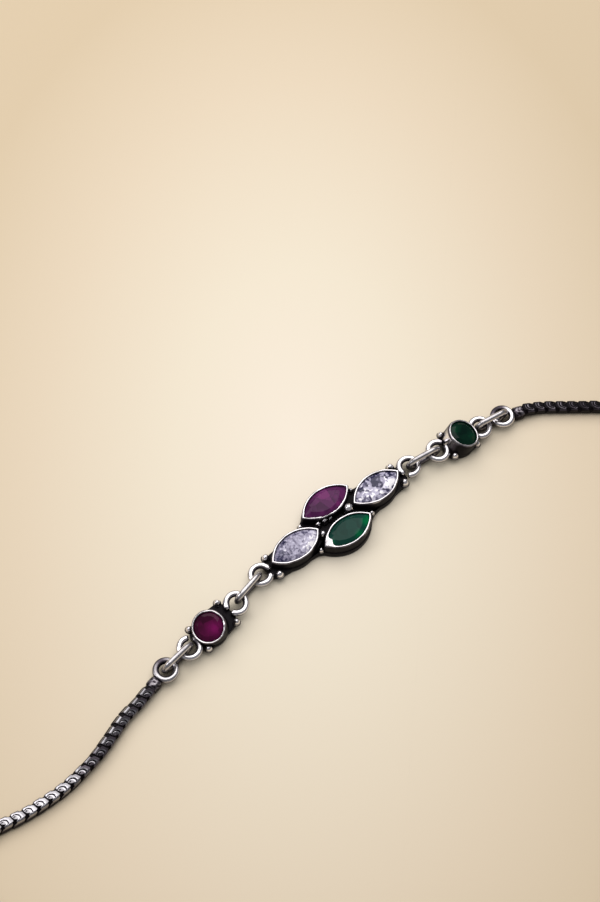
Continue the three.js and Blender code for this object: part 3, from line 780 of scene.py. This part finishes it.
def curvePoints(plan, perSegment):
    # a smooth curve through the plan's points; returns each sample with its place along the plan
    ends = [plan[0] * 2 - plan[1]] + list(plan) + [plan[-1] * 2 - plan[-2]]
    samples = []
    for i in range(len(plan) - 1):
        p0, p1, p2, p3 = ends[i:i + 4]
        d0, d1, d2 = [max((b - a).length ** 0.5, 1e-6) for a, b in ((p0, p1), (p1, p2), (p2, p3))]
        t1 = ((p1 - p0) / d0 - (p2 - p0) / (d0 + d1) + (p2 - p1) / d1) * d1
        t2 = ((p2 - p1) / d1 - (p3 - p1) / (d1 + d2) + (p3 - p2) / d2) * d1
        for k in range(perSegment + (i == len(plan) - 2)):
            t = k / perSegment
            ease, start, end = 3 * t ** 2 - 2 * t ** 3, t ** 3 - 2 * t ** 2 + t, t ** 3 - t ** 2
            samples.append((p1 * (1 - ease) + p2 * ease + t1 * start + t2 * end, i + t))
    return samples


def sHook():
    h = hookSize
    half = []
    for i in range(h["count"] + 1):
        angle = math.radians(h["first"] - i * h["step"])
        half.append(Vector((h["spread"] + h["loop"] * math.cos(angle), h["loop"] * math.sin(angle), 0)))
    plan = half + [-p for p in reversed(half)]
    path = [p for p, _ in curvePoints(plan, 8)]
    bm = newMesh()
    last = len(path) - 1
    thick = [h["wire"] / 2 * min(1.0, 0.55 + 0.2 * min(i, last - i)) for i in range(last + 1)]
    addWire(bm, path, Vector((0, 0, 1)), thick, h["sides"], False, ringShade, 0.06, 57)
    finishPiece(bm, "sHook", "s_hook_clasp", silverAndPaintedShade, "silver", turned(claspPlace["heading"]))


sHook()
print("rings and hook made")


# Snake chain: woven units set along the route by Geometry Nodes

# Each row is x, y, roll in degrees, and how tarnished the chain is there
leftRoute = [
    (-38.6, -4.35, 28, 0.14), (-41.5, -4.85, 34, 0.04), (-44.5, -5.9, 32, 0.1), (-47.3, -6.85, 24, 0.22),
    (-50.3, -7.5, 12, 0.06), (-53.5, -7.9, 0, -0.16), (-56.9, -7.85, -6, -0.24), (-60.2, -7.5, -8, -0.26),
    (-63.26, -6.84, -8, -0.27), (-66.2, -6.7, -4, -0.26), (-69, -8, 0, -0.24), (-70.8, -10.7, 0, -0.2),
    (-71.1, -13.9, 0, -0.17), (-69.7, -16.8, 0, -0.15), (-66.2, -19.9, 0, -0.15), (-58.2, -26.6, 0, -0.15),
    (-45.9, -36.9, 0, -0.15), (-34.6, -46.7, 0, -0.1),
]
rightRoute = [
    (36.6, -4.8, -10, 0.5), (38.8, -6.5, -12, 0.5), (41.3, -8.5, -12, 0.66), (44.1, -10.8, -8, 0.6),
    (46.1, -13.3, 0, 0.35), (46.4, -16.4, 0, 0.1), (44.4, -19.7, 0, 0.0), (37.6, -25.8, 0, -0.1),
    (26.6, -35.4, 0, -0.15), (15.5, -45.4, 0, -0.15), (4.6, -55.7, 0, -0.15), (-1.6, -62, 0, -0.15),
    (-4.7, -64.9, 0, -0.15), (-8.6, -66.4, 0, -0.15), (-12.6, -65, 0, -0.1),
]
unitLook = {"across": 13, "corner": 2, "along": 15, "cover": 0.485, "notch": 0.26, "slant": 0.28,
            "skew": 0.16, "slotDepth": 0.11, "slotWidth": 0.08, "eyeWidth": 0.12, "endDrop": 0.12,
            "lipAway": 0.17, "lipWidth": 0.085}
# On a unit, the far edge gets a painted highlight, the upper side painted light and the lower side painted
# shade; the ends are darker, partly oxide in the joins and partly painted shade between units.
unitOxideAndPaintedLight = {"face": 0.5, "end": 0.6, "slot": 1.6, "lip": -0.7, "farEdgeHighlight": -0.34, "upperSideLight": -0.12,
             "lowerSideShade": 0.45}
# the slot that makes the curled tongue on a unit's face, as shares of its length and width
curlSlot = [(0.40, -0.24), (0.26, -0.36), (0.08, -0.28), (-0.05, -0.04), (-0.07, 0.2), (-0.03, 0.52)]
curlEye = (0.32, -0.06)


def squareSection(roll, half):
    corner = half - chainSize["corner"]
    points = [(half, -corner), (half, corner), (corner, half), (-corner, half),
              (-half, corner), (-half, -corner), (-corner, -half), (corner, -half)]
    c, s = math.cos(math.radians(roll)), math.sin(math.radians(roll))
    return [(x * c - y * s, x * s + y * c) for x, y in points]


def chainHeight(roll):
    return -min(y for x, y in squareSection(roll, chainSize["width"] / 2))


def slotDistance(u, v):
    # distance in millimetres from the slot's line
    gaps = []
    here = Vector((u, v))
    for a, b in zip(curlSlot, curlSlot[1:]):
        a2, b2 = Vector(a), Vector(b)
        run = b2 - a2
        t = max(0.0, min(1.0, (here - a2).dot(run) / run.length_squared))
        gap = here - (a2 + run * t)
        gaps.append(math.hypot(gap.x * chainSize["pitch"], gap.y * chainSize["width"]))
    return min(gaps)


def chainUnit():
    # one woven unit along X: its top and bottom faces carry the curl, and its ends are cut on a slant
    look = unitLook
    half = chainSize["width"] / 2
    flat = half - chainSize["corner"]
    slant = look["slant"]
    around = []  # (y, z, v across the face or None, shift, notch at the start, notch at the end)
    n = look["across"]

    def corner(sideY, sideZ, rising, shift, startNotch, endNotch):
        for i in range(1, look["corner"] + 1):
            share = i / (look["corner"] + 1)
            a = math.pi / 2 * (share if rising else 1 - share)
            y, z = flat + (half - flat) * math.cos(a), flat + (half - flat) * math.sin(a)
            around.append((sideY * y, sideZ * z, None, shift, startNotch, endNotch))

    for i in range(n + 1):
        v = -0.5 + i / n
        edge = max(0.0, (abs(v) - 0.3) / 0.2)
        around.append((2 * flat * v, half, v, -look["skew"] * (v + 0.5), edge * (v < 0), edge * (v > 0)))
    corner(1, 1, False, 0.0, 0.0, 1.0)
    for i in range(5):
        t = i / 4
        around.append((half, flat * (1 - 2 * t), None, slant * t, 0.0, max(0.0, 1 - 2.5 * t)))
    corner(1, -1, True, slant, 0.4, 0.4)
    for i in range(n + 1):
        v = 0.5 - i / n
        around.append((2 * flat * v, -half, v, slant, 0.0, 0.0))
    corner(-1, -1, False, slant, 0.4, 0.4)
    for i in range(5):
        t = i / 4
        around.append((-half, -flat * (1 - 2 * t), None, slant * (1 - t), max(0.0, 2.5 * t - 1.5), 0.0))
    corner(-1, 1, True, 0.0, 1.0, 0.0)
    ends = [(0.0, 1.0), (0.02, 0.4), (0.07, 0.06)]
    stations = ends + [(0.07 + 0.86 * k / look["along"], 0.0) for k in range(1, look["along"])]
    stations += [(1 - t, drop) for t, drop in reversed(ends)]
    bm = newMesh()
    rings, oxidesAndPaintedLight = [], []
    for t, drop in stations:
        ring, values = [], []
        for y, z, v, shift, startNotch, endNotch in around:
            first = -look["cover"] + shift + look["notch"] * startNotch
            last = look["cover"] + shift - look["notch"] * endNotch
            u = first + (last - first) * t
            inset = look["endDrop"] * drop
            oxideAndPaintedLight = unitOxideAndPaintedLight["face"] + unitOxideAndPaintedLight["end"] * drop
            if v is not None:
                gap = slotDistance(u - shift, v)
                eye = math.hypot((u - shift - curlEye[0]) * chainSize["pitch"],
                                 (v - curlEye[1]) * chainSize["width"])
                slot = max(math.exp(-(gap / look["slotWidth"]) ** 2),
                           1.2 * math.exp(-(eye / look["eyeWidth"]) ** 2))
                lip = math.exp(-((gap - look["lipAway"]) / look["lipWidth"]) ** 2) * (1 - drop)
                inset += look["slotDepth"] * slot
                oxideAndPaintedLight = max(oxideAndPaintedLight, unitOxideAndPaintedLight["slot"] * slot) + unitOxideAndPaintedLight["lip"] * lip * (1 - slot)
            # painted highlight along the far edge; elsewhere painted light on the upper side and painted
            # shade on the lower side
            elif y < 0 and z > 0 and abs(y) < half - 0.02:
                oxideAndPaintedLight += unitOxideAndPaintedLight["farEdgeHighlight"] * (1 - drop)
            else:
                oxideAndPaintedLight += unitOxideAndPaintedLight["upperSideLight" if z > 0 else "lowerSideShade"]
            scale = 1 - inset / half
            ring.append((u * chainSize["pitch"], y * scale, z * scale))
            values.append(oxideAndPaintedLight)
        rings.append(ring)
        oxidesAndPaintedLight.append(values)
    addRings(bm, rings, oxidesAndPaintedLight)
    mesh = takeMesh(bm, "wovenUnit", mm)
    for face in mesh.polygons:
        face.use_smooth = True
    return newObject("wovenUnit", mesh)


def routeSamples(ring, heading, route, backRing, backHeading):
    # the chain's middle line in millimetres, with its roll and tarnish
    mouth = capStart + capSize["length"] + chainSize["joinGap"]
    reaches = (mouth, mouth + chainSize["lead"])
    plan = [ring + bearing(heading) * reach for reach in reaches]
    plan += [motif + Vector((x, y, 0)) for x, y, _, _ in route]
    plan += [backRing + bearing(backHeading) * reach for reach in reversed(reaches)]
    rolls = [route[0][2]] * 2 + [row[2] for row in route] + [0, 0]
    tones = [route[0][3]] * 2 + [row[3] for row in route] + [route[-1][3]] * 2
    lifts = [capHeight - chainHeight(rolls[0])] * 2 + [0.0] * len(route) + [capHeight - chainHeight(0)] * 2
    rows = []
    for point, place in curvePoints(plan, 10):
        i = min(int(place), len(plan) - 2)
        t = place - i
        ease = t * t * (3 - 2 * t)
        roll, tone, lift = (row[i] + (row[i + 1] - row[i]) * ease for row in (rolls, tones, lifts))
        rows.append((Vector((point.x, point.y, chainHeight(roll) + lift)), roll, tone))
    return rows


def chainCore(rows):
    # the inside of the weave, painted black as shade and oxide
    bm = newMesh()
    rings = []
    for i, (point, roll, _) in enumerate(rows):
        along = rows[min(i + 1, len(rows) - 1)][0] - rows[max(i - 1, 0)][0]
        along.z = 0
        along.normalize()
        side = Vector((along.y, -along.x, 0))
        section = squareSection(roll, chainSize["width"] / 2 - chainSize["coreInset"])
        rings.append([point + side * x + Vector((0, 0, y)) for x, y in section])
    addRings(bm, rings, [1.0] * len(rings))
    return newObject("chainCore", takeMesh(bm, "chainCore", mm))


weaveInputs = {"Units": "Int", "End trim": "Float", "Unit": "Object", "Core": "Object",
               "Roll spread": "Float", "Size spread": "Float", "Seed": "Int"}


def wovenTree(material):
    # units at equal steps along a line, each rolled with the line and a little more or less by chance
    tree = bpy.data.node_groups.new("wovenChain", "GeometryNodeTree")
    tree.interface.new_socket("Geometry", in_out="INPUT", socket_type="NodeSocketGeometry")
    for label, kind in weaveInputs.items():
        tree.interface.new_socket(label, in_out="INPUT", socket_type="NodeSocket" + kind)
    tree.interface.new_socket("Geometry", in_out="OUTPUT", socket_type="NodeSocketGeometry")
    given = addNode(tree, "NodeGroupInput").outputs

    def chance(low, high):
        # a number for each unit; inputs 2 and 3 and output 1 are the plain numbers
        inputs = {2: low, 3: high, "Seed": given["Seed"]}
        return addNode(tree, "FunctionNodeRandomValue", inputs, data_type="FLOAT").outputs[1]

    def shape(label):
        return addNode(tree, "GeometryNodeObjectInfo", {"Object": given[label]}).outputs["Geometry"]

    line = addNode(tree, "GeometryNodeMeshToCurve", {"Mesh": given["Geometry"]}).outputs[0]
    length = addNode(tree, "GeometryNodeCurveLength", {0: line}).outputs[0]
    # inputs 4 and 5 are the start and the end as lengths
    ends = {"Curve": line, 4: given["End trim"], 5: mathNode(tree, "SUBTRACT", length, given["End trim"])}
    line = addNode(tree, "GeometryNodeTrimCurve", ends, mode="LENGTH").outputs[0]
    points = addNode(tree, "GeometryNodeResampleCurve", {"Curve": line, "Count": given["Units"]}).outputs[0]
    tangent = addNode(tree, "GeometryNodeInputTangent").outputs[0]
    along = addNode(tree, "FunctionNodeAxesToRotation", {0: tangent, 1: (0, 0, 1)}, primary_axis="X",
                    secondary_axis="Z").outputs[0]
    roll = addNode(tree, "GeometryNodeInputNamedAttribute", {"Name": "roll"}, data_type="FLOAT").outputs[0]
    sway = chance(mathNode(tree, "MULTIPLY", given["Roll spread"], -1), given["Roll spread"])
    angles = addNode(tree, "ShaderNodeCombineXYZ", {0: mathNode(tree, "ADD", roll, sway)}).outputs[0]
    rolled = addNode(tree, "FunctionNodeEulerToRotation", {0: angles}).outputs[0]
    turn = addNode(tree, "FunctionNodeRotateRotation", {0: along, 1: rolled},
                   rotation_space="LOCAL").outputs[0]
    size = chance(mathNode(tree, "SUBTRACT", 1.0, given["Size spread"]), 1.0)
    units = addNode(tree, "GeometryNodeInstanceOnPoints", {"Points": points, "Instance": shape("Unit"),
                                                           "Rotation": turn, "Scale": size})
    both = addNode(tree, "GeometryNodeJoinGeometry", {0: units.outputs[0]})
    tree.links.new(shape("Core"), both.inputs[0])
    real = addNode(tree, "GeometryNodeRealizeInstances", {0: both.outputs[0]})
    coat = addNode(tree, "GeometryNodeSetMaterial", {"Geometry": real.outputs[0], "Material": material})
    addNode(tree, "NodeGroupOutput", {0: coat.outputs[0]})
    return tree


def snakeChain(name, node, rows, unit, tree, seed):
    length = sum((b[0] - a[0]).length for a, b in zip(rows, rows[1:]))
    units = round(length / chainSize["pitch"])
    mesh = bpy.data.meshes.new(name + "Line")
    points, rolls, tones = zip(*rows)
    mesh.from_pydata([tuple(point * mm) for point in points], [(i, i + 1) for i in range(len(rows) - 1)], [])
    for label, values in (("roll", [-math.radians(roll) for roll in rolls]), ("tone", tones)):
        mesh.attributes.new(label, "FLOAT", "POINT").data.foreach_set("value", values)
    line = newObject(name + "Line", mesh)
    core = chainCore(rows)
    weave = line.modifiers.new("weave", "NODES")
    weave.node_group = tree
    values = {"Units": units, "End trim": length / units / 2 * mm, "Unit": unit, "Core": core,
              "Roll spread": chainSize["rollSpread"], "Size spread": chainSize["sizeSpread"], "Seed": seed}
    for item in tree.interface.items_tree:
        if item.in_out == "INPUT" and item.name in values:
            weave[item.identifier] = values[item.name]
    made = evaluated(line)
    line.modifiers.remove(weave)
    bpy.data.objects.remove(line)
    bpy.data.objects.remove(core)
    # the weave's rounded corners are pressed level with the object's box
    for vertex in made.vertices:
        vertex.co = [min(max(value, least), most) for value, least, most in zip(vertex.co, cadLow, cadHigh)]
    made.name = name
    piece = newObject(name, made)
    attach(piece, "root")
    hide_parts(node)
    print(name, units, "units", len(made.polygons), "faces")


def chains():
    ringReach = ringSize["radius"] + ringSize["wire"] / 2
    left, right = boxOf("left_front_ring"), boxOf("right_front_ring")
    leftRing = Vector((left[1].x - ringReach, left[1].y - ringReach, 0))
    rightRing = Vector((right[0].x + ringReach, right[1].y - ringReach, 0))
    heading = claspPlace["heading"]
    reach = bearing(heading) * (hookSize["spread"] + hookSize["loop"])
    clasp = motif + Vector((claspPlace["x"], claspPlace["y"], 0))
    unit = chainUnit()
    tree = wovenTree(chainSilverAndPaintedShade)
    leftRows = routeSamples(leftRing, caps["leftFrontRing"][1], leftRoute, clasp + reach, heading)
    rightRows = routeSamples(rightRing, caps["rightFrontRing"][1], rightRoute, clasp - reach, heading + 180)
    snakeChain("leftChain", "left_chain", leftRows, unit, tree, 5)
    snakeChain("rightChain", "right_chain", rightRows, unit, tree, 9)
    bpy.data.objects.remove(unit)


chains()
print("chains made")


# Floor, light and camera

floorLook = {"half": 3.0, "across": 60, "deep": 110, "contact": 2.5, "paintedGlow": 0.25, "roughness": 0.9,
             "gloss": 0.1}
# paint from the middle of the floor outwards, lighter in the middle as a painted pool of light, and its
# painted shade by how open the place is
floorLightPool = [(0.0, (0.66, 0.596, 0.5)), (0.31, (0.615, 0.555, 0.44)), (0.67, (0.555, 0.47, 0.35)),
               (1.0, (0.49, 0.4, 0.275))]
contactShades = [(0.26, (0.04, 0.033, 0.03)), (0.58, (1, 1, 1))]


def floorPlane():
    # pale card, painted lighter in the middle as a pool of light, with painted shade where the metal nearly
    # touches it
    mesh = bpy.data.meshes.new("floor")
    h = floorLook["half"]
    mesh.from_pydata([(-h, -h, 0), (h, -h, 0), (h, h, 0), (-h, h, 0)], [], [(0, 1, 2, 3)])
    floor = newObject("floor", mesh)
    material, tree, shader = nodeMaterial("floorPaint")
    coords = addNode(tree, "ShaderNodeTexCoord").outputs["Object"]
    squares = []
    for turn, reach in ((0, floorLook["across"]), (90, floorLook["deep"])):
        axis = bearing(viewLook["azimuth"] + turn)
        along = addNode(tree, "ShaderNodeVectorMath", {0: coords, 1: axis}, operation="DOT_PRODUCT")
        offset = mathNode(tree, "SUBTRACT", along.outputs["Value"], axis.dot(aim) * mm)
        offset = mathNode(tree, "DIVIDE", offset, reach * mm)
        squares.append(mathNode(tree, "MULTIPLY", offset, offset))
    paint = rampNode(tree, mathNode(tree, "SQRT", mathNode(tree, "ADD", *squares)), floorLightPool)
    # painted shade where the metal nearly touches the floor, which also blackens the floor seen through the
    # rings
    near = addNode(tree, "ShaderNodeAmbientOcclusion", {"Distance": floorLook["contact"] * mm}, samples=12)
    shade = rampNode(tree, near.outputs["AO"], contactShades)
    mix = addNode(tree, "ShaderNodeMix", {"Factor": 1.0}, data_type="RGBA", blend_type="MULTIPLY")
    for source, target in zip((paint, shade), [socket for socket in mix.inputs if socket.type == "RGBA"]):
        tree.links.new(source, target)
    painted = next(socket for socket in mix.outputs if socket.type == "RGBA")
    # the floor glows with its own paint, a painted light that thins the shadows on it
    setInputs(tree, shader, {"Base Color": painted, "Emission Color": painted,
                             "Emission Strength": floorLook["paintedGlow"], "Roughness": floorLook["roughness"],
                             "Specular IOR Level": floorLook["gloss"]})
    mesh.materials.append(material)


viewLook = {"azimuth": -39.2, "elevation": 60.0, "distance": 240.0, "aim": (3.73, 12.89), "focal": 1600.0,
            "frame": (600, 902), "sensor": 36.0}


def direction(azimuth, elevation):
    a, e = math.radians(azimuth), math.radians(elevation)
    return Vector((math.sin(a) * math.cos(e), -math.cos(a) * math.cos(e), math.sin(e)))


def aimAt(item, place, target):
    item.location = place * mm
    item.rotation_euler = (place - target).to_track_quat("Z", "Y").to_euler()


aim = motif + Vector((*viewLook["aim"], 0))


def makeCamera():
    data = bpy.data.cameras.new("camera")
    data.sensor_width = viewLook["sensor"]
    data.lens = viewLook["focal"] * viewLook["sensor"] / max(viewLook["frame"])
    data.clip_start = 0.005
    camera = newObject("camera", data)
    aimAt(camera, aim + direction(viewLook["azimuth"], viewLook["elevation"]) * viewLook["distance"], aim)
    bpy.context.scene.camera = camera


lightLook = {
    "overhead": {"azimuth": 150, "elevation": 64, "distance": 420, "size": 560, "power": 2.6,
                 "tone": (1, 0.97, 0.96)},
    "side": {"azimuth": -120, "elevation": 35, "distance": 420, "size": 160, "power": 0.35,
             "tone": (0.97, 0.96, 1)},
}
roomLook = {"tone": (0.95, 0.95, 1.0, 1), "strength": 0.26}


def makeLights():
    for name, look in lightLook.items():
        data = bpy.data.lights.new(name, "AREA")
        data.shape = "SQUARE"
        data.size = look["size"] * mm
        data.energy = look["power"]
        data.color = look["tone"]
        lamp = newObject(name, data)
        aimAt(lamp, aim + direction(look["azimuth"], look["elevation"]) * look["distance"], aim)
    world = bpy.data.worlds.new("room")
    bpy.context.scene.world = world
    world.use_nodes = True
    setInputs(world.node_tree, world.node_tree.nodes["Background"],
              {"Color": roomLook["tone"], "Strength": roomLook["strength"]})
    bpy.context.scene.view_settings.view_transform = "Standard"


floorPlane()
makeCamera()
makeLights()
print("stage made")
